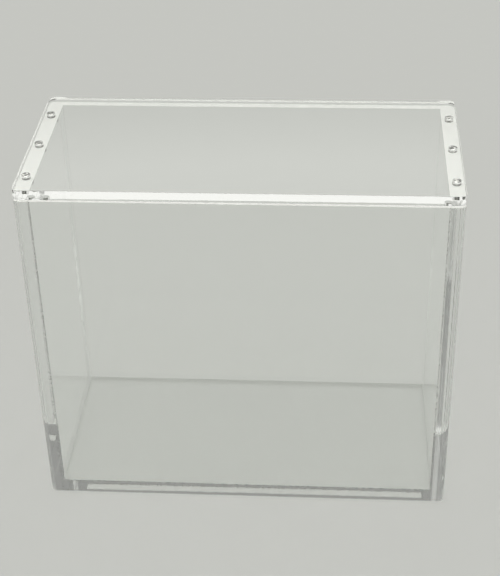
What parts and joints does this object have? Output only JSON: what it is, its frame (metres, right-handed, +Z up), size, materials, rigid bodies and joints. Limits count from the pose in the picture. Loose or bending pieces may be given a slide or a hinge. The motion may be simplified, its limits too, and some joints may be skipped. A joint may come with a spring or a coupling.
{
  "type": "trading card display case",
  "caption": "Clear acrylic display case, open at the top, with a flat lift-off lid that disc magnets hold down on its two thick end walls.",
  "frame": {"origin": "middle of the case's footprint, on the surface it stands on", "axes": "+X along the width towards the right end wall, +Y from the front panel to the back panel, +Z up through the lid"},
  "size_m": [0.21, 0.098, 0.186],
  "materials": {
    "clear_acrylic": "clear cast acrylic, glossy faces, polished edges",
    "plated_magnet": "bright nickel plating, lightly scuffed"
  },
  "bodies": {
    "case_body": {"front_panel": "clear_acrylic", "back_panel": "clear_acrylic", "left_end_wall": "clear_acrylic", "right_end_wall": "clear_acrylic", "base_plate": "clear_acrylic", "wall_magnet_left_front": "plated_magnet", "wall_magnet_left_middle": "plated_magnet", "wall_magnet_left_back": "plated_magnet", "wall_magnet_right_front": "plated_magnet", "wall_magnet_right_middle": "plated_magnet", "wall_magnet_right_back": "plated_magnet"},
    "lid": {"lid_plate": "clear_acrylic", "lid_magnet_left_front": "plated_magnet", "lid_magnet_left_middle": "plated_magnet", "lid_magnet_left_back": "plated_magnet", "lid_magnet_right_front": "plated_magnet", "lid_magnet_right_middle": "plated_magnet", "lid_magnet_right_back": "plated_magnet"}
  },
  "joints": [
    {"name": "lid_lift", "type": "slide", "parent": "case_body", "child": "lid", "axis": [0, 0, 1], "range_m": [0, 0.15]}
  ]
}
